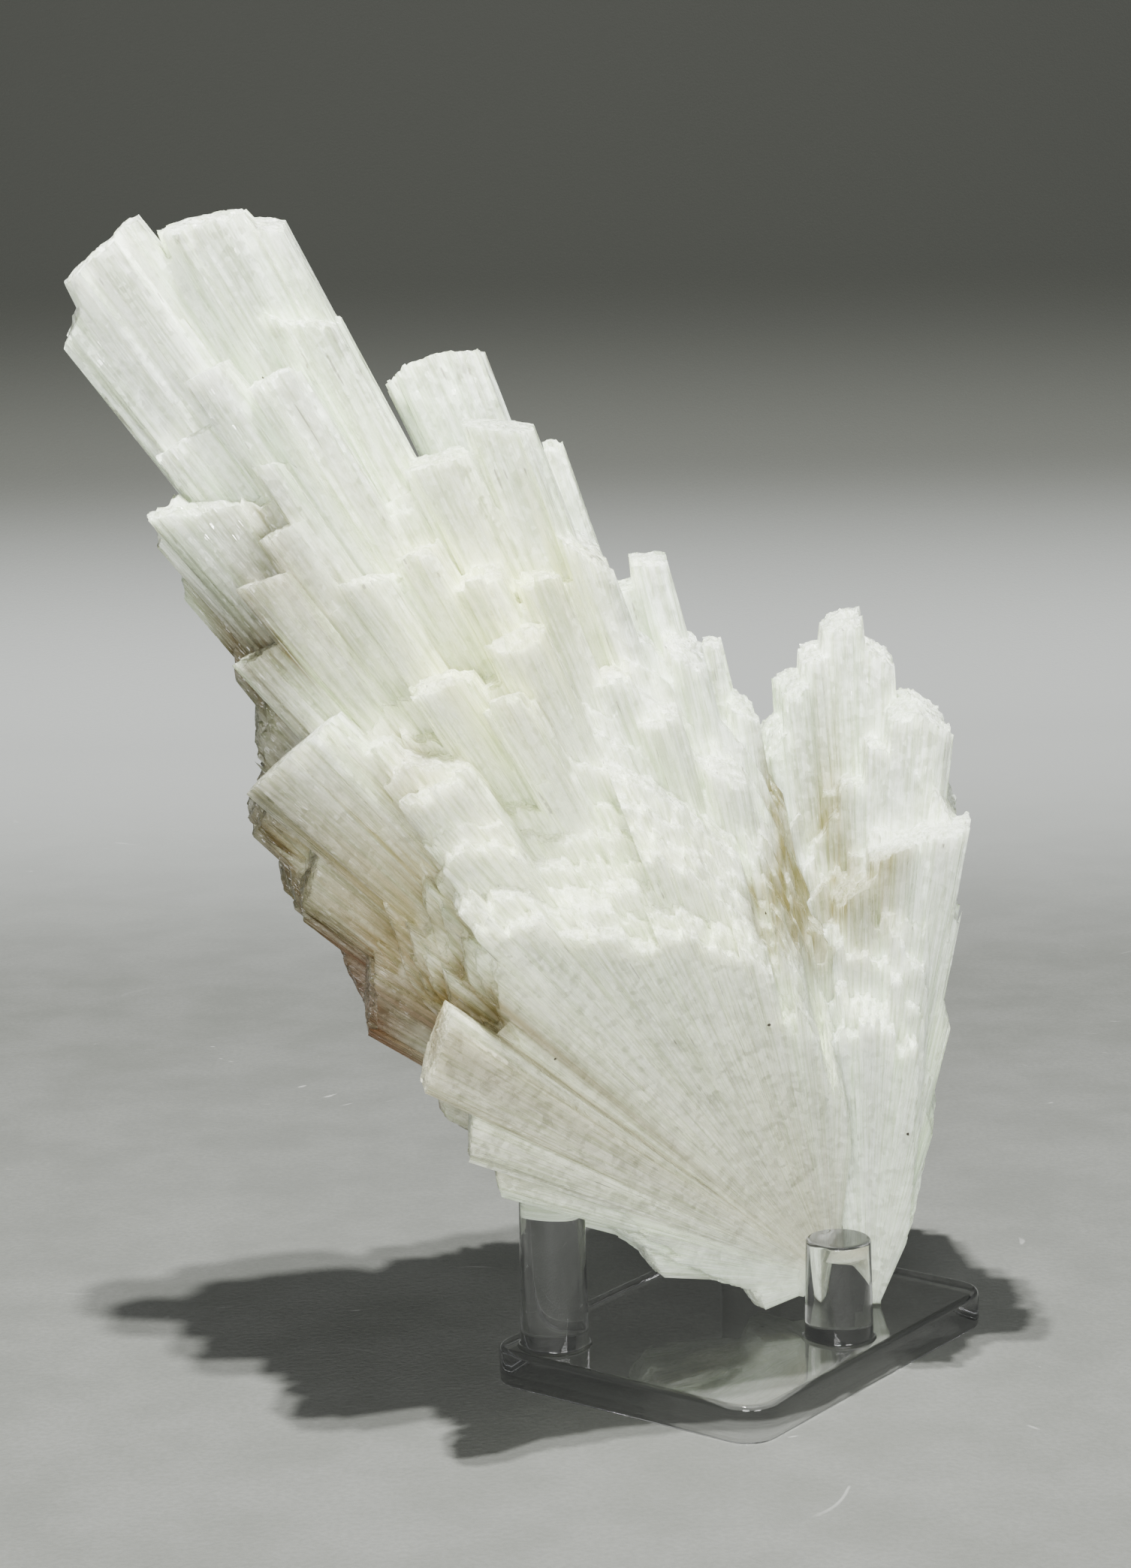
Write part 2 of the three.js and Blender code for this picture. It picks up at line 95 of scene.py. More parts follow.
# %% Crystal table
# lean, tilt, reach, width, depth, slant, nose, ragged
MAIN_CRYSTALS = [
    # the long slab at the top left: two broad blades with plates behind and below
    (35.4, 1, 145, 9, 11, -5, 2, 0.8),
    (33.3, 1.3, 148.5, 11.2, 11, -1.5, 1.5, 0.8),
    (34.4, 1.0, 146, 8, 11, -3, 1.5, 0.8),
    (28.9, 1.0, 145, 10, 13, 3, 1.5, 0.8),
    (26.7, 0.6, 141.5, 5.2, 12, 3, 1.5, 0.8),
    (27.1, 2.0, 131, 8, 12, 6, 2, 1.0),
    (31.2, -3.2, 137, 23, 6, -4, -2, 1.5),
    (31.8, 0.4, 127, 24, 13, -3, 2, 1.5),
    (31.5, 3.2, 108, 24, 12, 2, 2, 1.5),
    # blades stepping down its face
    (34.9, 3.6, 126, 9, 9, 1, 1, 0.8),
    (32.1, 5, 131, 5.4, 9, 0.5, 1.5, 0.2),
    (29.4, 5.4, 127, 6.4, 9, 1, 1.5, 1.2),
    (38.2, 4, 121, 6, 12, -3, 2, 1.5),
    (36.2, 6, 120, 11, 10, 6, 2, 1.5),
    (39.4, 1.2, 116, 7, 15, -7, 0, 1.5),
    (31.7, 7, 119, 3.2, 8, 1, 1, 0.6),
    (33.3, 8.2, 113, 6, 9, 1, 2, 0.8),
    (35.6, 9.6, 110, 6, 9, 2, 2, 0.8),
    (30.7, 9.6, 104, 5.5, 9, 2, 2, 1.0),
    (38.5, 9.5, 104, 7, 10, 2, 3, 0.8),
    # the big rounded slab and the stepped left edge
    (40.6, 15.2, 96, 13, 11, 0, 4, 0.3),
    (42, 6, 98, 8, 15, -6, 4, 1.5),
    (46.5, 4.6, 91, 8, 15, -3, 4, 2.5),
    (46, 11, 84, 10, 14, -4, 5, 1.2),
    (50, 4.7, 83, 6, 15, -6, 4, 2.5),
    (53.3, 3.6, 71.5, 6, 14, -9, 4, 2.0),
    (52, 12, 70, 9, 14, -6, 5, 1.2),
    (56.5, 1.6, 62.5, 5, 13, -6, 4, 2.0),
    (60.2, 1, 54.5, 5, 16, -6, 4, 1.5),
    (58, 12, 56, 8, 12, -6, 4, 1.0),
    (64, 3, 45.5, 5, 16, -5, 4, 1.0),
    (69, 3, 40, 4.5, 14, -4, 3, 0.8),
    # blunt crystals pointing out of the lower front
    (49, 31, 70.5, 9.5, 9, -4, 3, 0.3),
    (55.5, 28, 58, 8, 9, -5, 3, 0.4),
    (61, 21, 49, 8, 11, -6, 4, 0.5),
    # upper right edge, with the clear crystal standing behind it
    (23.4, -7, 119, 9, 10, 0, -2, 1.0),
    (20.8, -8, 119, 4.5, 9, 1, 0, 0.8),
    (24, 4, 110, 7.6, 10, 1, 2, 0.8),
    (19.9, 2, 110, 8, 11, 4, 1, 0.3),
    (17.4, -3, 105.5, 3, 9, 1, 0, 1.5),
    (17.6, 3, 95, 5, 14, 6, 4, 1.0),
    (15.9, -4, 86.5, 4, 12, 1, 2, 0.8),
    (13.4, -2, 89.5, 4.8, 9, 1, 1, 0.5),
    (12.3, 3, 80, 4.5, 12, 3, 4, 1.0),
    (10, -4, 78.5, 3, 9, 0, 0, 1.2),
    (8.5, -1, 71.5, 3.5, 12, 2, 2, 1.2),
    (6.7, 0, 62, 3.5, 14, 5, 4, 1.2),
    # ledges in the middle of the front
    (24.5, 8.6, 98, 6, 10, 1, 3, 1.5),
    (21, 8.4, 95, 5, 10, 1, 3, 1.5),
    (27.2, 7.6, 103, 5, 10, 1, 3, 1.2),
    (23.8, 12.6, 92, 7, 10, 1, 4, 2.0),
    (26, 16.6, 88, 6, 9, 1, 4, 2.0),
    (29.8, 13.6, 92, 7, 10, 2, 4, 1.5),
    (33.9, 19.6, 86, 9, 9, 2, 4, 2.0),
    (37, 15, 91, 7, 9, 1, 4, 1.0),
    (15.9, 9, 76, 5, 11, 1, 4, 1.5),
    (19.2, 8, 82, 6, 11, 1, 4, 1.5),
    (11, 8, 67.5, 5, 11, 3, 4, 1.5),
    # short ones towards the right-hand spray
    (3.6, 5, 47, 4, 16, 3, 4, 1.0),
    (0, 5, 40, 4, 14, 3, 4, 1.0),
    (-4, 4, 34, 4, 12, 3, 4, 1.0),
    # the foot of the spray, below the root on the left
    (77, 2, 24.5, 5, 16, -4, 2, 0.5),
    (92, 2, 11, 5, 13, -2, 1, 0.3),
    # short crystals at the back that lie on the rear peg
    (28, -47, 33, 9, 12, 0, -3, 1.0),
]
SIDE_CRYSTALS = [
    (1.2, -6, 87, 5, 10, -1, 2, 1.0),
    (-1.6, -6, 83.5, 4, 10, 2, 2, 1.0),
    (3.5, -5, 83.5, 4, 10, 0, 2, 1.0),
    (5.6, -3, 80.5, 4, 10, -1, 2, 1.0),
    (7.8, -3, 75.5, 4, 11, -3, 3, 1.5),
    (-3.6, -2, 77.5, 4, 13, -1, 2, 1.0),
    (-6, -2, 77, 4.5, 13, 2, 2, 1.0),
    (-8.2, -1, 68, 3.5, 13, 4, 2, 1.0),
    (-10, 0, 57.5, 3, 14, 3, 3, 1.5),
    (-11.4, 1, 45, 3, 13, 5, 3, 1.0),
    (-14, 1, 32, 3, 12, 5, 3, 1.0),
    (10.5, 0, 56, 5, 14, -3, 3, 1.5),
    # the fan lying over its lower front
    (-7.5, 5, 65, 7, 9, -2, 3, 0.8),
    (-2.5, 6, 63, 6, 9, -2, 3, 0.8),
    (2, 7, 58.5, 5, 9, -3, 3, 0.8),
    (6, 7, 54, 5, 9, -3, 3, 0.8),
]
print("crystals that stand out:", len(MAIN_CRYSTALS) + len(SIDE_CRYSTALS))

# %% [markdown]
# ## The sheets of needles between them
#
# Between the big crystals the stone is filled with thinner needles that lie in sheets, one in
# front of another like the leaves of a book. The sheets behind reach up to the outline, and each
# sheet further to the front stops a little sooner. Those stops are the small bright steps all
# over the face of the stone.

# %% Outlines and sheets
# How far each spray reaches at each lean: (lean, reach)
MAIN_OUTLINE = [(-4, 30), (3, 44), (8, 64), (15, 80), (20, 100), (28, 128), (35, 128), (41, 98)]
MAIN_OUTLINE += [(48, 79), (56, 55), (64, 41), (73, 27), (90, 9)]
FRONT_OUTLINE = [(-4, 30), (3, 46), (8, 61), (15, 75), (20, 84), (25, 90), (30, 95), (35, 102)]
FRONT_OUTLINE += [(40, 98), (48, 80), (56, 56), (64, 41), (73, 28), (90, 10)]
SIDE_OUTLINE = [(-18, 24), (-14, 32), (-11, 44), (-7, 68), (0, 76), (8, 66), (12, 52)]
print("outline points:", len(MAIN_OUTLINE), len(FRONT_OUTLINE), len(SIDE_OUTLINE))

# %% [markdown]
# A sheet is a row of six numbers: its middle tilt and its height in degrees, its share of the
# outline, the most that it reaches, how much of that a bundle may give up, and how wide a bundle
# is in degrees. The sheets at the front of the main spray are so regular that they follow a rule.

# %% Table of sheets
BACK_SHEETS = [
    (-32, 9, 0.54, 52, 0.1, 3.3),
    (-24, 9, 0.64, 76, 0.1, 3.3),
    (-15, 9, 0.77, 93, 0.1, 3.3),
    (-7, 9, 0.88, 106, 0.1, 3.3),
    (0, 8, 1.00, 112, 0.1, 3.3),
]
FRONT_START, FRONT_STOP, FRONT_STEP = 5.0, 30.0, 2.1  # degrees of tilt


def front_sheet(tilt):
    """The sheet at a tilt: its share of the outline is 1.1 - 0.0205 d + 0.0003 d^2, where d is
    how far it is past the first, and its bundles grow less even towards the front."""
    past = tilt - FRONT_START
    share = 1.1 - 0.0205 * past + 0.0003 * past**2
    return (tilt, 2.4, share, 120, 0.04 + 0.004 * tilt, 3.1)


FRONT_SHEETS = [front_sheet(tilt) for tilt in np.arange(FRONT_START, FRONT_STOP, FRONT_STEP)]
SIDE_SHEETS = [
    (-29, 9, 0.96, 60, 0.10, 3.0),
    (-20, 9, 1.00, 68, 0.10, 3.0),
    (-12, 9, 1.00, 72, 0.10, 3.0),
    (-3, 10, 1.00, 74, 0.10, 3.0),
    (3, 4, 0.92, 64, 0.08, 2.6),
    (6, 4, 0.88, 61, 0.08, 2.6),
    (9, 4, 0.82, 58, 0.10, 2.6),
    (12, 4, 0.78, 55, 0.10, 2.6),
    (15, 4, 0.73, 51, 0.12, 2.6),
    (18.5, 4, 0.66, 47, 0.12, 2.6),
]
print("sheets:", len(BACK_SHEETS), "behind,", len(FRONT_SHEETS), "in front,", len(SIDE_SHEETS), "beside")

# %% [markdown]
# Nothing in a natural stone repeats, so each bundle and needle needs numbers of its own. A hash
# gives them: it turns the bundle's place in the spray into a number that looks like chance and
# is the same on every run.

# %% Reach of a sheet
SHEETS_TOGETHER = 7.0  # degrees of tilt over which a bundle goes through from sheet to sheet
NEEDLE_WIDE, NEEDLE_HIGH = 0.7, 0.8  # degrees
BROKEN_NEEDLES = 0.05  # share of the needles at a sheet's face


def hashed(*cells):
    """A number from 0 to 1 for each cell, without a pattern: the fraction of a large sine."""
    mix = sum(c * k for c, k in zip(cells, (12.9898, 78.233, 37.719)))
    return np.modf(np.abs(np.sin(mix) * 43758.5453))[0]


def sheet_reach(lean, tilt, sheet, outline, seed):
    """Reach of a sheet of needles: its share of the outline at that lean, up to the sheet's most.
    Each bundle gives up some of it, the same in a few neighbouring sheets, and so do the needles
    in it; both also stand a little in or out of the sheet. Returns the reach and the tone."""
    middle, high, share, most, vary, wide = sheet
    leans, edges = np.array(outline).T
    group = round(middle / SHEETS_TOGETHER)
    wander = lean + 0.5 * np.sin(lean * 0.9 + group)
    bundle = np.floor(wander / wide + 0.37 * group)
    needle = np.floor(lean / NEEDLE_WIDE + 0.13 * seed)
    by_bundle, by_needle = hashed(bundle, group + 0.5), hashed(needle, middle - seed)
    row = np.floor((tilt - middle) / NEEDLE_HIGH + by_needle)
    by_row = hashed(needle, row, np.array(seed * 1.0))
    level = np.minimum(np.interp(lean, leans, edges) * share, most)
    reach = level * (1 - vary * by_bundle - 0.015 * by_needle) - 0.6 * by_row**2
    front = high / 2 + 0.5 * (by_bundle - 0.5) + 0.3 * (by_needle - 0.5) + 0.3 * np.sin(0.35 * lean + seed)
    away = (tilt - middle) * (1 if middle > 0 else -1)
    inside = (away < front) & (away > -high / 2 - 1) & (lean > leans[0]) & (lean < leans[-1])
    broken = (away > front - 0.9) & (by_row < BROKEN_NEEDLES)
    reach = np.where(broken, reach * (0.8 + 1.8 * by_row), reach)
    return np.where(inside, reach, 0), 0.7 * by_bundle + 0.3 * by_needle


print("a needle is", round(math.radians(NEEDLE_WIDE) * 100, 1), "mm wide 100 mm from the root")

# %% [markdown]
# ## One crystal
#
# A crystal is a prism seen from its root, so in the grid of directions it is a rectangle with
# cut-off corners that is raised to the crystal's length. Needles half a millimetre wide flute its
# sides and serrate its end, and a few of them are broken off short.

# %% Reach of one crystal
NEEDLE = 0.5  # mm
BROKEN_SHORT = 0.10  # share of the needles at a crystal's sides
LEAST_DROP = -4  # mm; an end is never longer in front than behind by more than this


def crystal_reach(x, y, number, crystal, seed):
    """Reach inside one crystal, for places across (x) and through it (y) in half widths: a
    slanted flat end, far + slant x / 2 - nose y / 2, serrated by needles half a millimetre wide.
    The sides are fluted by the same needles, and a few needles there are broken off short."""
    _, up, far, wide, deep, slant, nose, ragged = crystal
    turn = 0.10 * math.sin(number * 2.4)
    x, y = x + turn * y * deep / wide, y - turn * x * wide / deep
    across, through = x * wide / 2, y * deep / 2
    size = 1.3 + 0.9 * hashed(np.array(number * 1.0), np.array(3.0))
    columns = np.floor(across / size + number * 0.37)
    rows = np.floor(through / (1.3 * size) + 0.5 * columns)
    chance = hashed(columns + 17.0 * number, rows, np.array(float(seed)))
    other = hashed(rows + 5.0, columns - 3.0 * number, np.array(seed + 9.0))
    fine = hashed(np.floor(across / NEEDLE), np.floor(through / NEEDLE), np.array(number * 1.0))
    side, face = wide / 2 - np.abs(across), deep / 2 - np.abs(through)
    corner = 0.7 * (side + face - 0.225 * min(wide, deep))
    edge = np.minimum.reduce([side, face, corner])
    inside = edge > 0.3 * (chance - 0.5) + 0.15 * fine
    drop = max(nose - 0.5 * max(up, 0), LEAST_DROP)  # a crystal that points forward is cut less
    end = far + 0.5 * slant * x - 0.5 * drop * y
    end -= 0.7 * ragged * chance**2 + 0.3 * min(ragged, 1) * fine
    end -= np.where(edge < 1.0, 0.5 * ragged * other, 0)
    short = (edge < 1.1) & (other < BROKEN_SHORT)
    return np.where(inside, np.where(short, end * (0.8 + 0.17 * chance), end), 0)


middle_of_first = crystal_reach(np.zeros(1), np.zeros(1), 0, MAIN_CRYSTALS[0], 1)
print("the first crystal reaches", middle_of_first.round(1), "mm")

# %% [markdown]
# Where two forms share a direction, the longer one hides the other. So the reach of the whole
# spray is the largest of them all, and each place also keeps the tone of the form that won.

# %% Reach of a spray
def reach_of(leans, tilts, crystals, sheets, seed):
    """How far the stone reaches in each direction: the longest crystal or needle there. The tone
    is a number from 0 to 1 that every crystal and bundle has of its own."""
    lean, tilt = np.meshgrid(leans, tilts, indexing="ij")
    reach, tone = np.full(lean.shape, 1.0), np.full(lean.shape, 0.5)
    for number, (sheet, outline) in enumerate(sheets):
        far, own = sheet_reach(lean, tilt, sheet, outline, seed + 3 * number)
        longer = far > reach
        reach[longer], tone[longer] = far[longer], own[longer]
    for number, crystal in enumerate(crystals):
        at, up, far, wide, deep = crystal[:5]
        x = (lean - at) * math.cos(math.radians(up)) / math.degrees(wide / 2 / far)
        y = (tilt - up) / math.degrees(deep / 2 / far)
        far = crystal_reach(x, y, number, crystal, seed)
        longer = far > reach
        own = hashed(np.array(number + 1.0), np.array(seed + 0.5))
        reach[longer], tone[longer] = far[longer], own
    return reach, tone


# %% [markdown]
# ## Grown together
#
# Real crystals leave no deep slots between them: they touch and grow together, and only a
# shallow groove shows where they meet. Closing does that to a grid of heights. Take the largest
# value in a small window round each cell, then the smallest value of the result: slots narrower
# than the window fill up to the lower of their two banks, and everything wider stays.

# %% Closing the slots
def running(values, cells, axis, best):
    """The best (np.maximum or np.minimum) of each cell and the cells up to so many away."""
    result = values.copy()
    for shift in range(1, cells + 1):
        for way in (shift, -shift):
            result = best(result, np.roll(values, way, axis))
    return result


def grown_together(reach, across, through, groove, short):
    """Reach with its narrow slots filled, up to a groove in from the front and short of the end."""
    filled = running(running(reach, across, 0, np.maximum), across, 0, np.minimum)
    filled = running(running(filled, through, 1, np.maximum), through, 1, np.minimum)
    return np.maximum(reach, running(filled, groove, 1, np.minimum) - short)


slot = np.array([[9.0], [9.0], [2.0], [9.0], [9.0]])
print("a slot one cell wide is filled to", running(running(slot, 1, 0, np.maximum), 1, 0, np.minimum)[2, 0])

# %% [markdown]
# ## Clear of the stand
#
# The stone lies on the pegs without running into them. Each direction is cut where its ray
# would come to the plate or to the side of a peg, so the stone is hollowed there to fit.

# %% Room for the pegs
PEG_PLACES = {"left": (-22.41, -8.45, 19.6), "rear": (2.19, 23.84, 19.6), "front": (10.74, -8.18, 12.0)}
PEG_FOOT_RADIUS, PEG_TOP_RADIUS = 4.0, 3.8


def clear_of_stand(root, lean, tilt):
    """How far a ray from the root can go before the plate or the side of a peg: the nearer root of
    |point - peg axis| = peg radius + gap, where the ray is still below the peg's top."""
    ray = direction(lean, tilt)
    room = np.full(lean.shape, 1e3)
    lowest = PLATE_TOP + REST_GAP
    down = ray[..., 2] < -1e-3
    if root[2] > lowest:
        room[down] = (root[2] - lowest) / -ray[..., 2][down]
    for x, y, height in PEG_PLACES.values():
        radius = PEG_FOOT_RADIUS + REST_GAP
        ox, oy = root[0] - x, root[1] - y
        a = np.maximum(ray[..., 0] ** 2 + ray[..., 1] ** 2, 1e-9)
        b = ox * ray[..., 0] + oy * ray[..., 1]
        square = b * b - a * (ox * ox + oy * oy - radius**2)
        near = (-b - np.sqrt(np.maximum(square, 0))) / a
        far = (-b + np.sqrt(np.maximum(square, 0))) / a
        top = lowest + height
        meets = (square > 0) & (far > 0)
        low = meets & (root[2] + near * ray[..., 2] < top)
        room[low] = np.minimum(room[low], np.maximum(near[low], 0.5))
        onto = meets & down & ~low & (root[2] + far * ray[..., 2] < top)
        room[onto] = np.minimum(room[onto], ((root[2] - top) / -ray[..., 2])[onto])
    return room


under = clear_of_stand(MAIN_ROOT, np.array([180.0]), np.array([0.0]))
print("room under the main root:", under.round(2), "mm")

# %% [markdown]
# ## From grid to stone
#
# The grid of directions and reaches becomes one closed mesh. Three values go with every vertex
# for the finish to read: its crystal's tone; its edge, which is 1 where the stone drops away
# beside it; and its grain, which is lean, tilt and reach. In those coordinates a streak along a
# crystal is a straight line, wherever the crystal points.

# %% Skin of a spray
FLANK = 35.5  # mm in front and behind; past this the stone is pressed flatter
PRESSED = 0.6  # share of what stands past the flank that goes
BRINK = 4.0  # mm of drop beside a vertex that makes it a full edge


def keep_value(mesh, name, kind, values):
    """Give every vertex a value, or three, under a name that a material can read."""
    field = "vector" if kind == "FLOAT_VECTOR" else "value"
    mesh.attributes.new(name, kind, "POINT").data.foreach_set(field, values.astype(np.float32).ravel())


def skin(name, root, leans, tilts, reach, tone, least):
    """A closed mesh: point = root + reach x direction over the grid of directions. The rim of the
    grid is drawn in to the least reach and closed with a fan behind the root."""
    lean, tilt = np.meshgrid(leans, tilts, indexing="ij")
    reach = np.minimum(np.maximum(reach, least), clear_of_stand(root, lean, tilt))
    rim = np.zeros(reach.shape, bool)
    rim[[0, -1], :] = rim[:, [0, -1]] = True
    reach[rim] = np.minimum(reach, least)[rim]
    points = root + reach[..., None] * direction(lean, tilt)
    points[..., 2] = np.maximum(points[..., 2], PLATE_TOP + REST_GAP)
    proud = np.maximum(np.abs(points[..., 1]) - FLANK, 0)
    points[..., 1] -= PRESSED * proud * np.sign(points[..., 1])
    ids = np.arange(reach.size).reshape(reach.shape)
    corners = (ids[:-1, :-1], ids[1:, :-1], ids[1:, 1:], ids[:-1, 1:])
    quads = np.stack([corner.ravel() for corner in corners], axis=1)
    loop = np.concatenate([ids[0, :-1], ids[:-1, -1], ids[-1, :0:-1], ids[:0:-1, 0]])
    fan = np.stack([loop, np.roll(loop, -1), np.full(len(loop), reach.size)], axis=1)
    back = points[[0, -1]][:, [0, -1]].mean(axis=(0, 1))
    mesh = bpy.data.meshes.new(name)
    mesh.from_pydata(np.vstack([points.reshape(-1, 3), back]) * MM, [], quads.tolist() + fan.tolist())
    lowest = running(running(reach, 1, 0, np.minimum), 2, 1, np.minimum)
    edge = np.clip((reach - lowest) / BRINK, 0, 1)
    grain = np.stack([lean, tilt, reach], axis=-1).reshape(-1, 3)
    keep_value(mesh, "edge", "FLOAT", np.append(edge.ravel(), 0))
    keep_value(mesh, "tone", "FLOAT", np.append(tone.ravel(), 0.5))
    keep_value(mesh, "grain", "FLOAT_VECTOR", np.vstack([grain, [0, 0, 0]]))
    mesh.update()
    piece = bpy.data.objects.new(name, mesh)
    bpy.context.scene.collection.objects.link(piece)
    print(name, "vertices", len(mesh.vertices), "triangles", 2 * len(quads) + len(fan))
    return piece


# %% [markdown]
# The grid is finest where the most crystals end, and coarser round the back and at the rim. The
# main spray is done first. It fans out far to the left, so its leans go from 8 degrees right of
# upright to 100 degrees left of it.

# %% Main spray
MAIN_LEAST, SIDE_LEAST = 5.5, 5.0  # mm
main_leans = stretched([(-8, 0.6), (6, 0.3), (18, 0.2), (42, 0.3), (62, 0.6), (100, 1)])
main_tilts = stretched([(-60, 1.2), (-42, 0.8), (-10, 0.26), (36, 1), (44, 1)])
main_sheets = [(sheet, MAIN_OUTLINE) for sheet in BACK_SHEETS]
main_sheets += [(sheet, FRONT_OUTLINE) for sheet in FRONT_SHEETS]
main_reach, main_tone = reach_of(main_leans, main_tilts, MAIN_CRYSTALS, main_sheets, 1)
main_reach = grown_together(main_reach, 5, 3, 2, 2.5)
main_spray = skin("main_spray", MAIN_ROOT, main_leans, main_tilts, main_reach, main_tone, MAIN_LEAST)

# %% [markdown]
# The side spray grew from a second root just to the right and stands almost upright. It is made by
# the same functions from its own rows, with a finer grid because it is small.

# %% Side spray
side_leans = stretched([(-20, 0.25), (14, 1)])
side_tilts = stretched([(-38, 0.8), (-14, 0.3), (24, 1)])
side_sheets = [(sheet, SIDE_OUTLINE) for sheet in SIDE_SHEETS]
side_reach, side_tone = reach_of(side_leans, side_tilts, SIDE_CRYSTALS, side_sheets, 2)
side_reach = grown_together(side_reach, 4, 2, 1, 1.5)
side_spray = skin("side_spray", SIDE_ROOT, side_leans, side_tilts, side_reach, side_tone, SIDE_LEAST)

# %% [markdown]
# ## A few words for making materials
#
# Every finish below is a small tree of nodes. One function makes a node and joins it up, so that
# a material reads from top to bottom like a recipe: what is measured, how it is mixed, and which
# socket of the shader it goes to.

# %% Node words
def new_material(name):
    """A material with nodes, and its Principled shader."""
    material = bpy.data.materials.new(name)
    material.use_nodes = True
    return material, material.node_tree.nodes["Principled BSDF"]


def node(tree, kind, inputs=(), out=0, **settings):
    """Make a node, set or link its inputs by name or number, and return one of its outputs."""
    made = tree.nodes.new(kind)
    for key, value in settings.items():
        setattr(made, key, value)
    for key, value in dict(inputs).items():
        if isinstance(value, bpy.types.NodeSocket):
            tree.links.new(value, made.inputs[key])
        else:
            made.inputs[key].default_value = value
    return made.outputs[out]


def ramp(tree, value, low, high, start=0.0, stop=1.0):
    """A smooth step: start where the value is at low, stop where it is at high."""
    ends = {"Value": value, "From Min": low, "From Max": high, "To Min": start, "To Max": stop}
    return node(tree, "ShaderNodeMapRange", ends, interpolation_type="SMOOTHSTEP")


def sums(tree, how, first, second):
    """One sum, such as MULTIPLY or MAXIMUM, of two values."""
    return node(tree, "ShaderNodeMath", {0: first, 1: second}, operation=how)


def blended(tree, amount, first, second, how="MIX"):
    """Two colours mixed by an amount from 0 to 1."""
    ends = {0: amount, 6: first, 7: second}
    return node(tree, "ShaderNodeMix", ends, out=2, data_type="RGBA", blend_type=how)


def noise(tree, place, scale, detail=2.0, rough=0.5):
    """Soft random patches from 0 to 1."""
    ends = {"Vector": place, "Scale": scale, "Detail": detail, "Roughness": rough}
    return node(tree, "ShaderNodeTexNoise", ends)


def stretch(tree, place, scale):
    """A place multiplied along each axis."""
    return node(tree, "ShaderNodeVectorMath", {0: place, 1: scale}, operation="MULTIPLY")


def linked(shader, **sockets):
    """Join values to the shader's sockets, with _ for a space in a socket's name."""
    for key, value in sockets.items():
        shader.id_data.links.new(value, shader.inputs[key.replace("_", " ")])


print("material words ready")

# %% [markdown]
# ## The stone's colour
#
# Scolecite is colourless, and white where it is full of tiny cracks and tubes. Most of the colour
# comes from below the skin: cool white near the tips, a little green in the clearer blades, cream
# in the thick middle and tea-coloured stains where iron crept in along the old surface. The low
# left, its underside edge and the hollow of the side spray are darkened with painted shade as well
# as given their own beige and brown. All of these are a table of soft patches in millimetres, so
# that each can be moved like a spot of paint.

# %% Stains
# centre x, y, z, reach in x, y, z (mm), strength, colour
STAINS_AND_SHADE = [
    # cream in the thick middle and the fan
    ((-26, -16, 88), (14, 20, 20), 0.80, (0.90, 0.92, 0.52)),
    ((-16, -26, 56), (26, 26, 26), 0.50, (0.92, 0.95, 0.66)),
    ((-4, -16, 30), (26, 28, 20), 0.40, (0.93, 0.96, 0.70)),
    # beige, a little pink, over the low left, made darker with painted shade because the low left is in
    # shade
    ((-43, -18, 65), (14, 26, 14), 0.90, (0.34, 0.27, 0.11)),
    ((-38, -22, 49), (14, 24, 12), 0.90, (0.34, 0.26, 0.12)),
    ((-24, -26, 31), (14, 18, 7), 0.55, (0.62, 0.56, 0.33)),
    # tea-coloured patch and old jagged skin at the left
    ((-51, -10, 90), (12, 30, 13), 1.00, (0.15, 0.115, 0.04)),
    ((-55, -4, 79), (12, 34, 13), 1.00, (0.10, 0.075, 0.03)),
    ((-56, -4, 65), (10, 34, 12), 1.00, (0.11, 0.08, 0.03)),
    ((-50, -2, 53), (11, 34, 12), 1.00, (0.11, 0.075, 0.03)),
    # these two lie on the underside edge: reddish brown, darkened with painted shade under the spray
    ((-43, 0, 42), (11, 34, 11), 1.00, (0.12, 0.055, 0.025)),
    ((-33, 0, 31), (13, 26, 9), 0.95, (0.15, 0.09, 0.04)),
    # brown in the narrow wedge above the blunt crystal
    ((-32, -18, 53), (5, 22, 7), 1.00, (0.18, 0.12, 0.02)),
    # the hollow of the side spray: brownish, and darkened with painted shade in the hollow; and dirt at the
    # root
    ((9, -8, 60), (7, 24, 13), 0.95, (0.23, 0.19, 0.05)),
    ((4, -8, 13), (9, 14, 5), 0.85, (0.40, 0.32, 0.17)),
]
# the side spray gets the painted shade of its hollow and the dirt at its root
SIDE_STAINS_AND_SHADE = STAINS_AND_SHADE[-2:]
COOL_WHITE = np.array([0.91, 0.985, 0.86])
GREEN_WHITE = np.array([0.79, 0.92, 0.70])
FROST_WHITE = np.array([0.955, 0.995, 0.89])
print("stains:", len(STAINS_AND_SHADE), "on the main spray,", len(SIDE_STAINS_AND_SHADE), "on the side spray")

# %% [markdown]
# The colour is worked out once for every vertex, because the light that wanders under the skin
# asks for it many times, and a stored colour costs it nothing. A soft random value bends the edge
# of each patch, stained or of painted shade, so that none is a plain oval.

# %% Soft patches
def smooth(value, low, high):
    """0 below low, 1 above high and 3 t^2 - 2 t^3 between."""
    t = np.clip((value - low) / (high - low), 0, 1)
    return t * t * (3 - 2 * t)


def patches(places, size, seed):
    """Soft random patches from 0 to 1: a hashed value at every corner of a grid of cubes, blended
    smoothly between the eight corners round each place."""
    cell, part = np.divmod(places / size, 1.0)
    part = part * part * (3 - 2 * part)
    total = np.zeros(len(places))
    for corner in np.ndindex(2, 2, 2):
        weight = np.where(corner, part, 1 - part).prod(axis=1)
        total += weight * hashed(*(cell + corner).T + seed)
    return total


def mixed(amount, first, second):
    """First where the amount is 0, second where it is 1, for arrays of colours."""
    return first + amount[:, None] * (second - first)


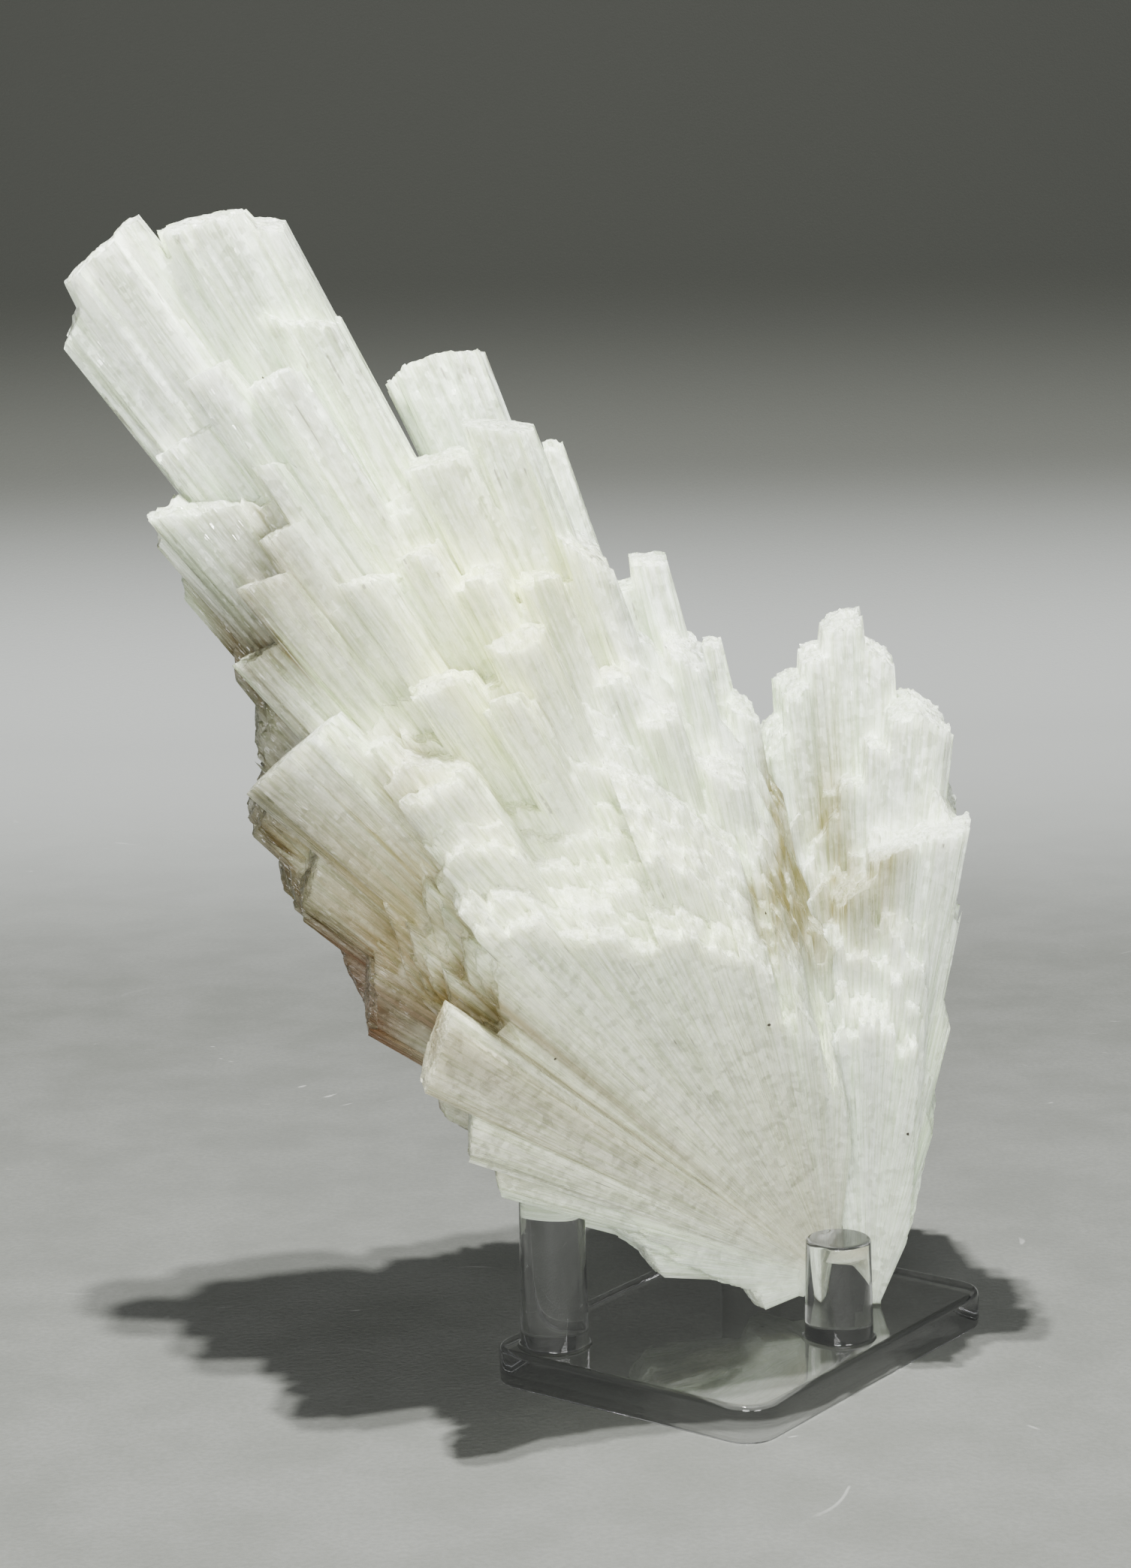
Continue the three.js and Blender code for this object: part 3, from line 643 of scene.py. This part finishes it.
sample = patches(np.indices((9, 9, 9)).reshape(3, -1).T * 1.3, 5.0, 1)
print("patches run from", sample.min().round(2), "to", sample.max().round(2))

# %% [markdown]
# Frost is what whitens the stone where it was broken or is sugary: it is full on the ends, which
# face straight away from the root, in patches on the faces, and on chipped edges.

# %% Painting the sprays
CHIP_SIZE, PATCH_BEND = 1.6, 12  # mm


def value_of(mesh, name, field, size):
    """What every vertex of a mesh has under a name, as rows of one number or three."""
    values = np.empty(len(mesh.vertices) * size, np.float32)
    mesh.attributes[name].data.foreach_get(field, values)
    return values.reshape(-1, size)


def paint(piece, root, stains_and_shade, seed):
    """Write two values to every vertex: tint, its colour under the skin with patches of painted shade in
    it, and frost, which is 1 on broken ends and in sugary patches and 0 on clear faces. A patch, stained
    or of painted shade, is at its full strength within half its reach and gone at 1.3 times its reach."""
    mesh = piece.data
    points = value_of(mesh, "position", "vector", 3) / MM
    normals = np.empty(points.size, np.float32)
    mesh.vertices.foreach_get("normal", normals)
    normals = normals.reshape(-1, 3)
    tone = value_of(mesh, "tone", "value", 1)[:, 0]
    edge = value_of(mesh, "edge", "value", 1)[:, 0]
    grain = value_of(mesh, "grain", "vector", 3)
    outward = points - root
    outward /= np.maximum(np.linalg.norm(outward, axis=1, keepdims=True), 1e-6)
    colour = mixed(smooth(tone, 0.35, 0.9), COOL_WHITE, GREEN_WHITE)
    tip = smooth((normals * outward).sum(axis=1), 0.3, 0.75)
    sugar = patches(grain * (0.35, 0.25, 0.09), 1.0, seed)
    sugar += 0.5 * patches(grain * (1.1, 0.8, 0.3), 1.0, seed + 3)
    chips = smooth(patches(points, CHIP_SIZE, seed + 5), 0.35, 0.65)
    frost = np.maximum.reduce([tip, smooth(sugar, 0.90, 1.05), 0.9 * edge * chips])
    colour = mixed(0.6 * frost, colour, FROST_WHITE)
    wide_bends = [patches(points, 9.0, seed + k) for k in range(3)]
    small_bends = [patches(points, 3.5, seed + k + 9) for k in range(3)]
    wander = np.stack(wide_bends, axis=1) + 0.5 * np.stack(small_bends, axis=1)
    shifted = points + PATCH_BEND * (wander - 0.75)
    # stained patches and patches of painted shade, laid on one after another
    for centre, reach, strength, patch_colour in stains_and_shade:
        away = np.linalg.norm((shifted - centre) / reach, axis=1)
        amount = strength * smooth(-away, -1.3, -0.5) * (1 - 0.35 * frost)
        colour = mixed(amount, colour, np.array(patch_colour))
    tint = mesh.attributes.new("tint", "FLOAT_COLOR", "POINT")
    opaque = np.column_stack([colour, np.ones(len(colour))])
    tint.data.foreach_set("color", opaque.astype(np.float32).ravel())
    keep_value(mesh, "frost", "FLOAT", frost)
    print(piece.name, "mean tint", colour.mean(axis=0).round(3), "frosted", round(float(frost.mean()), 3))


paint(main_spray, MAIN_ROOT, STAINS_AND_SHADE, 1)
paint(side_spray, SIDE_ROOT, SIDE_STAINS_AND_SHADE, 2)

# %% [markdown]
# ## The stone's finish
#
# Three things make it look like crystal and not like wax. Fine lines run along every face, which
# are steps in its growth; they are drawn in the grain coordinates, so they follow each crystal to
# the root. Broken tips and ledges are frosted: whiter, rougher and grainy. And tiny facets in the
# frost catch the lamps. Light goes a few millimetres into the stone before it comes out again.

# %% Lines and slits of the stone
def growth_lines(tree, grain):
    """Fine lines along the crystals: noise that is narrow in lean and tilt and long in reach."""
    return noise(tree, stretch(tree, grain, (2.6, 1.6, 0.08)), 1.0, 2.0, 0.7)


def toned(tree, colour, lines, blotch):
    """The tint, darker and greener in the lines and a little in the blotches."""
    in_lines = ramp(tree, lines, 0.42, 0.64, 0.0, 0.85)
    colour = blended(tree, in_lines, colour, (0.70, 0.74, 0.62, 1), "MULTIPLY")
    in_blotch = ramp(tree, blotch, 0.42, 0.64, 0.0, 0.06)
    return blended(tree, in_blotch, colour, (0.80, 0.81, 0.74, 1), "MULTIPLY")


def slitted(tree, colour, grain, blotch):
    """Dark slits between needles: the highest few hundredths of a noise stretched along them."""
    slit = noise(tree, stretch(tree, grain, (3.6, 1.5, 0.10)), 1.0, 0.0)
    slit = sums(tree, "MULTIPLY", ramp(tree, slit, 0.765, 0.80), ramp(tree, blotch, 0.48, 0.56))
    return blended(tree, sums(tree, "MULTIPLY", slit, 0.75), colour, (0.30, 0.29, 0.23, 1))


def specked(tree, colour, place):
    """Dark specks of dirt: the middles of the few Voronoi cells whose random colour is highest."""
    cells = tree.nodes.new("ShaderNodeTexVoronoi")
    tree.links.new(place, cells.inputs["Vector"])
    cells.inputs["Scale"].default_value = 420.0
    chosen = node(tree, "ShaderNodeSeparateColor", {0: cells.outputs["Color"]})
    middle = ramp(tree, cells.outputs["Distance"], 0.11, 0.07)
    speck = sums(tree, "MULTIPLY", middle, ramp(tree, chosen, 0.975, 0.98))
    return blended(tree, speck, colour, (0.05, 0.04, 0.03, 1))


# %% [markdown]
# The relief has two parts. The growth lines are a bump. The facets of the frost are too small for
# a bump, so each Voronoi cell turns the normal its own way, and more where the stone is frosted.

# %% Relief of the stone
def lined(tree, lines, blotch):
    """The normal over the growth lines, with a little unevenness."""
    height = sums(tree, "ADD", sums(tree, "MULTIPLY", lines, 1.8), sums(tree, "MULTIPLY", blotch, 0.15))
    return node(tree, "ShaderNodeBump", {"Strength": 0.8, "Distance": 0.0008, "Height": height})


def faceted(tree, normal, place, frost):
    """The normal plus a vector of its own for every facet, made unit length again."""
    facets = node(tree, "ShaderNodeTexVoronoi", {"Vector": place, "Scale": 1500.0}, out="Color")
    facets = node(tree, "ShaderNodeVectorMath", {0: facets, 1: (0.5, 0.5, 0.5)}, operation="SUBTRACT")
    amount = ramp(tree, frost, 0.0, 0.8, 0.10, 0.9)
    turned = node(tree, "ShaderNodeVectorMath", {0: facets, 3: amount}, operation="SCALE")
    normal = node(tree, "ShaderNodeVectorMath", {0: normal, 1: turned}, operation="ADD")
    return node(tree, "ShaderNodeVectorMath", {0: normal}, operation="NORMALIZE")


# %% [markdown]
# The shader gets the painted tint, the lines and the relief. Light wanders about 3 mm under the
# skin, red a little further than blue, and scolecite's index of refraction is 1.52.

# %% Scolecite
def scolecite():
    """White stone with light under its skin."""
    material, shader = new_material("scolecite")
    tree = material.node_tree
    place = node(tree, "ShaderNodeTexCoord", out="Object")
    grain = node(tree, "ShaderNodeAttribute", out="Vector", attribute_name="grain")
    frost = node(tree, "ShaderNodeAttribute", out="Fac", attribute_name="frost")
    colour = node(tree, "ShaderNodeAttribute", out="Color", attribute_name="tint")
    lines = growth_lines(tree, grain)
    blotch = noise(tree, place, 420.0, 2.0, 0.7)
    colour = toned(tree, colour, lines, blotch)
    colour = slitted(tree, colour, grain, blotch)
    colour = specked(tree, colour, place)
    gloss = ramp(tree, blotch, 0.35, 0.65, 0.16, 0.32)
    gloss = sums(tree, "ADD", gloss, sums(tree, "MULTIPLY", frost, 0.04))
    relief = faceted(tree, lined(tree, lines, blotch), place, frost)
    linked(shader, Base_Color=colour, Roughness=gloss, Normal=relief)
    shader.subsurface_method = "BURLEY"
    shader.inputs["IOR"].default_value = 1.52
    shader.inputs["Subsurface Weight"].default_value = 0.8
    shader.inputs["Subsurface Scale"].default_value = 0.003
    shader.inputs["Subsurface Radius"].default_value = (1.0, 0.95, 0.8)
    print("stone nodes:", len(tree.nodes))
    return material


stone = scolecite()
for piece in (main_spray, side_spray):
    piece.data.materials.append(stone)
    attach(piece, "root")
    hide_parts("scolecite_spray")

# %% [markdown]
# ## The stand
#
# The stand is moulded in one piece from clear acrylic: a small plate with round corners and three
# pegs with a little draft, so that it leaves the mould. Each form is a stack of rings, and a
# Boolean joins them into one closed skin, because a wall inside clear plastic would show. The
# flat faces end in a narrow strip, which keeps their shading flat up to the rounded edge.

# %% Rings
def ring_solid(name, rings):
    """A closed solid from rings of points, one above another: four-sided faces between two rings,
    and a flat face over the first and the last."""
    rings = np.array(rings)
    ids = np.arange(rings.shape[0] * rings.shape[1]).reshape(rings.shape[:2])
    after = np.roll(ids, -1, axis=1)
    sides = np.stack([ids[:-1], after[:-1], after[1:], ids[1:]], axis=-1).reshape(-1, 4)
    ends = [ids[0, ::-1].tolist(), ids[-1].tolist()]
    mesh = bpy.data.meshes.new(name)
    mesh.from_pydata(rings.reshape(-1, 3) * MM, [], sides.tolist() + ends)
    piece = bpy.data.objects.new(name, mesh)
    bpy.context.scene.collection.objects.link(piece)
    return piece


def quarter(steps):
    """Sine and cosine at even steps over a quarter turn."""
    turn = np.linspace(0, math.pi / 2, steps)
    return np.sin(turn), np.cos(turn)


print("a quarter in three steps:", np.round(quarter(3), 2).tolist())

# %% [markdown]
# The plate's rings are rectangles with round corners, drawn in at the top and the bottom to round
# its edge over. A peg's rings are circles: a fillet spreads its foot on the plate, the draft
# narrows it upwards, and its top edge is rounded.

# %% Plate and pegs
PLATE_LENGTH, PLATE_WIDTH, PLATE_CORNER, PLATE_EDGE = 50.8, 38.1, 4.0, 0.7  # mm
PLATE_TURN = math.radians(52.7)
STRIP = 0.4  # mm, the flat strip that ends each flat face
PEG_RIM, PEG_FILLET = 0.45, 0.5  # mm
SUNK = 1.0  # mm of each peg below the plate's top, for the joining
AROUND, QUARTER_STEPS = 96, 8


def plate_ring(inset, height):
    """Outline of the plate, drawn in by an inset: centre of a corner + radius x (cos, sin), for
    every angle round the plate, turned with the plate."""
    angle = (np.arange(AROUND) + 0.5) * 2 * math.pi / AROUND
    x = np.sign(np.cos(angle)) * (PLATE_LENGTH / 2 - PLATE_CORNER) + (PLATE_CORNER - inset) * np.cos(angle)
    y = np.sign(np.sin(angle)) * (PLATE_WIDTH / 2 - PLATE_CORNER) + (PLATE_CORNER - inset) * np.sin(angle)
    cosine, sine = math.cos(PLATE_TURN), math.sin(PLATE_TURN)
    return np.stack([x * cosine - y * sine, x * sine + y * cosine, np.full(AROUND, height)], axis=-1)


def peg_ring(x, y, radius, height):
    """A circle: centre + radius x (cos, sin)."""
    angle = np.arange(AROUND) * 2 * math.pi / AROUND
    across, along = x + radius * np.cos(angle), y + radius * np.sin(angle)
    return np.stack([across, along, np.full(AROUND, height)], axis=-1)


def plate_solid():
    """The plate: inset and height follow edge x (1 - sin, 1 - cos) below, and the same above."""
    sine, cosine = quarter(QUARTER_STEPS)
    under = [(PLATE_EDGE * (1 - s), PLATE_EDGE * (1 - c)) for s, c in zip(sine, cosine)]
    over = [(inset, PLATE_TOP - height) for inset, height in reversed(under)]
    flat = PLATE_EDGE + STRIP
    levels = [(flat, 0.0)] + under + over + [(flat, PLATE_TOP)]
    return ring_solid("peg_stand_plate", [plate_ring(*level) for level in levels])


def peg_solid(name, x, y, height):
    """A peg: radius and height follow foot radius + fillet x (1 - sin), plate top + fillet x
    (1 - cos), and then top radius - rim x (1 - cos), top - rim x (1 - sin)."""
    sine, cosine = quarter(QUARTER_STEPS)
    top = PLATE_TOP + height
    spread, lift = PEG_FILLET * (1 - sine[1:]), PEG_FILLET * (1 - cosine[1:])
    foot = list(zip(PEG_FOOT_RADIUS + spread, PLATE_TOP + lift))
    rim = list(zip(PEG_TOP_RADIUS - PEG_RIM * (1 - cosine), top - PEG_RIM * (1 - sine)))
    levels = [(foot[0][0], PLATE_TOP - SUNK)] + foot + rim + [(rim[-1][0] - STRIP, top)]
    return ring_solid(name, [peg_ring(x, y, *level) for level in levels])


print("draft of a tall peg:", round(PEG_FOOT_RADIUS - PEG_TOP_RADIUS, 2), "mm in its height")

# %% [markdown]
# The Boolean's exact solver joins plate and pegs. After it the shading is smooth, apart from edges
# that turn more than 18 degrees, so the flat faces stay flat and the rounded edges look round.

# %% One skin
SHARP = math.radians(18)


def joined(pieces):
    """One skin round several overlapping solids, smooth but for its corners."""
    first, *rest = pieces
    for other in rest:
        union = first.modifiers.new("join", "BOOLEAN")
        union.operation, union.solver, union.object = "UNION", "EXACT", other
    shape = first.evaluated_get(bpy.context.evaluated_depsgraph_get())
    mesh = bpy.data.meshes.new_from_object(shape)
    first.modifiers.clear()
    first.data = mesh
    for other in rest:
        bpy.data.objects.remove(other)
    mesh.shade_smooth()
    mesh.set_sharp_from_angle(angle=SHARP)
    return first


pegs = [peg_solid(f"peg_{name}", *place) for name, place in PEG_PLACES.items()]
stand = joined([plate_solid(), *pegs])
stand.name = "clear_stand"
print("stand faces:", len(stand.data.polygons))

# %% [markdown]
# ## Clear acrylic
#
# Acrylic lets nearly all light through and bends it (1.49). Seen through the length of the plate
# it has a little colour, so the plastic itself absorbs: the deeper, the more lilac-grey. Handling
# leaves hairline scratches and dust, which only show as a change of gloss.

# %% Acrylic
def clear_acrylic():
    """Clear plastic that absorbs a little, with hairline scratches and dust in its gloss."""
    material, shader = new_material("clear_acrylic")
    tree = material.node_tree
    place = node(tree, "ShaderNodeTexCoord", out="Object")
    scratch = noise(tree, stretch(tree, place, (900.0, 60.0, 200.0)), 1.0, 2.0)
    dust = noise(tree, place, 2500.0, 1.0)
    scratched = ramp(tree, scratch, 0.64, 0.72, 0.015, 0.10)
    gloss = sums(tree, "ADD", scratched, ramp(tree, dust, 0.70, 0.76, 0.0, 0.12))
    waves = noise(tree, place, 120.0, 1.0)
    relief = node(tree, "ShaderNodeBump", {"Strength": 0.12, "Distance": 0.001, "Height": waves})
    linked(shader, Roughness=gloss, Normal=relief)
    shader.inputs["Base Color"].default_value = (1, 1, 1, 1)
    shader.inputs["Transmission Weight"].default_value = 1.0
    shader.inputs["IOR"].default_value = 1.49
    depth = tree.nodes.new("ShaderNodeVolumeAbsorption")
    depth.inputs["Color"].default_value = (0.80, 0.79, 0.86, 1)
    depth.inputs["Density"].default_value = 14.0
    tree.links.new(depth.outputs["Volume"], tree.nodes["Material Output"].inputs["Volume"])
    print("acrylic nodes:", len(tree.nodes))
    return material


stand.data.materials.clear()
stand.data.materials.append(clear_acrylic())
stand.visible_shadow = False  # clear plastic lets light through to the floor under it
stand.visible_diffuse = False
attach(stand, "root")
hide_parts("peg_stand")

# %% [markdown]
# ## Floor and backdrop
#
# The specimen stands on a sheet of pale grey card that lies flat and then curves up behind it, so
# that there is no line where the floor ends. A profile of the bend, carried sideways, is all that
# it takes: one row of long faces, shaded smooth.

# %% Card
CARD_HALF_WIDTH, CARD_FRONT, CURVE_START, CURVE_RADIUS, CARD_TOP = 1.6, -1.2, 0.42, 0.36, 0.9  # m


def card_sweep():
    """A sheet along a profile: flat, then a quarter circle (y, z) = start + radius x (sin, 1 - cos),
    then upright."""
    turn = np.linspace(0, math.pi / 2, 33)
    wall = CURVE_START + CURVE_RADIUS
    y = np.concatenate([[CARD_FRONT], CURVE_START + CURVE_RADIUS * np.sin(turn), [wall]])
    z = np.concatenate([[0], CURVE_RADIUS * (1 - np.cos(turn)), [CARD_TOP]])
    left = np.stack([np.full(len(y), -CARD_HALF_WIDTH), y, z], axis=-1)
    right = left * (-1, 1, 1)
    start = np.arange(len(y) - 1)
    faces = np.stack([start, start + len(y), start + len(y) + 1, start + 1], axis=-1)
    mesh = bpy.data.meshes.new("card_floor")
    mesh.from_pydata(np.vstack([left, right]), [], faces.tolist())
    mesh.shade_smooth()
    piece = bpy.data.objects.new("card_floor", mesh)
    bpy.context.scene.collection.objects.link(piece)
    return piece


floor = card_sweep()
print("card faces:", len(floor.data.polygons))

# %% [markdown]
# The card has a fine grain, soft mottling and a few pale scuffs. Its grey is dark near the stand,
# pale behind it and darkest up the curve. Many lamps with shades could do that with light alone;
# here it is painted in, by depth and by height, which is quicker to set and to render.

# %% Grey card
def grey_card():
    """Card with grain, mottling and scuffs; its grey is painted light and shade: a pale band of painted
    light behind the stand and painted shade darkening up the curve.
    """
    material, shader = new_material("grey_card")
    tree = material.node_tree
    place = node(tree, "ShaderNodeTexCoord", out="Object")
    depth = node(tree, "ShaderNodeSeparateXYZ", {0: place}, out="Y")
    height = node(tree, "ShaderNodeSeparateXYZ", {0: place}, out="Z")
    mottle = noise(tree, place, 60.0, 4.0, 0.6)
    grain = noise(tree, place, 1400.0, 2.0, 0.6)
    colour = blended(tree, ramp(tree, mottle, 0.3, 0.7), (0.125, 0.13, 0.12, 1), (0.155, 0.16, 0.15, 1))
    colour = blended(tree, ramp(tree, grain, 0.3, 0.7, 0.0, 0.35), colour, (0.095, 0.10, 0.09, 1))
    bend = node(tree, "ShaderNodeTexNoise", {"Vector": place, "Scale": 18.0}, out="Color")
    bend = stretch(tree, bend, (0.10, 0.10, 0.0))
    bent = node(tree, "ShaderNodeVectorMath", {0: bend, 1: place}, operation="ADD")
    scuff = noise(tree, stretch(tree, bent, (130.0, 420.0, 1.0)), 1.0, 2.0)
    sparse = noise(tree, place, 22.0, 2.0)
    scuff = sums(tree, "MULTIPLY", ramp(tree, scuff, 0.70, 0.76), ramp(tree, sparse, 0.5, 0.62))
    colour = blended(tree, sums(tree, "MULTIPLY", scuff, 0.45), colour, (0.55, 0.55, 0.54, 1))
    # painted light: a pale band on the card behind the stand
    colour = blended(tree, ramp(tree, depth, 0.16, 0.46), colour, (0.57, 0.59, 0.58, 1))
    # painted shade: the card darkens up the curve, where the light falls off
    colour = blended(tree, ramp(tree, height, 0.0, 0.05), colour, (0.15, 0.155, 0.14, 1))
    colour = blended(tree, ramp(tree, height, 0.03, 0.10), colour, (0.038, 0.040, 0.034, 1))
    relief = node(tree, "ShaderNodeBump", {"Strength": 0.25, "Distance": 0.0004, "Height": grain})
    linked(shader, Base_Color=colour, Normal=relief)
    shader.inputs["Roughness"].default_value = 0.75
    return material


floor.data.materials.append(grey_card())

# %% [markdown]
# ## Camera
#
# The camera looks a little down on the specimen from half an arm's length, held by hand, so it is
# turned a little. Its axes are worked out as vectors, which is easier to check than three angles.

# %% Camera
FOCAL_PX, PICTURE_HEIGHT_PX = 4666.0, 2088
PITCH, ROLL = math.radians(10.8), math.radians(-1.31)
EYE = (-19.7, -397.5, 145.2)  # mm

ahead = Vector((0, math.cos(PITCH), -math.sin(PITCH)))
level = Vector((1, 0, 0))
over = level.cross(ahead)
rightward = math.cos(ROLL) * level + math.sin(ROLL) * over
upward = math.cos(ROLL) * over - math.sin(ROLL) * level
lens = bpy.data.cameras.new("display_view")
lens.sensor_width = 36.0
lens.lens = FOCAL_PX / PICTURE_HEIGHT_PX * lens.sensor_width
camera = bpy.data.objects.new("display_view", lens)
turn = Matrix((rightward, upward, -ahead)).transposed().to_4x4()
camera.matrix_world = Matrix.Translation(Vector(EYE) * MM) @ turn
bpy.context.scene.collection.objects.link(camera)
bpy.context.scene.camera = camera
print("lens", round(lens.lens, 2), "mm")

# %% [markdown]
# ## Light
#
# Two small lamps hang close together above the stone, so its shadow has a firm edge with a second
# one beside it. Everything else is soft light from the room: a wide lamp in front, a low one to
# the right that fills the fan, a panel overhead, and a dim grey world for what they miss.

# %% Lamps
def lamp(name, place, aim, size, power, colour):
    """A round lamp at a place, in metres, turned towards what it lights."""
    light = bpy.data.lights.new(name, "AREA")
    light.shape, light.size, light.energy, light.color = "DISK", size, power, colour
    item = bpy.data.objects.new(name, light)
    item.location = Vector(place)
    item.rotation_euler = (Vector(aim) - Vector(place)).to_track_quat("-Z", "Y").to_euler()
    bpy.context.scene.collection.objects.link(item)
    print(name, power, "W")


lamp("lamp_left", (-0.062, -0.068, 0.60), (-0.02, 0, 0.0), 0.014, 5.5, (1.0, 1.0, 0.97))
lamp("lamp_right", (-0.046, -0.095, 0.60), (-0.02, 0, 0.0), 0.014, 5.5, (1.0, 1.0, 0.97))
lamp("room_front", (-0.15, -1.1, 0.32), (0, 0, 0.05), 0.5, 13.5, (0.99, 1.0, 0.99))
lamp("room_right", (0.42, -0.75, 0.12), (0.0, 0, 0.05), 0.36, 4.5, (1.0, 1.0, 0.99))
lamp("soft_panel", (0.15, -0.25, 1.3), (0, 0, 0.05), 0.7, 3.0, (0.98, 0.99, 1.0))
world = bpy.data.worlds.new("room")
world.use_nodes = True
world.node_tree.nodes["Background"].inputs["Color"].default_value = (0.85, 0.87, 0.88, 1)
world.node_tree.nodes["Background"].inputs["Strength"].default_value = 0.14
bpy.context.scene.world = world
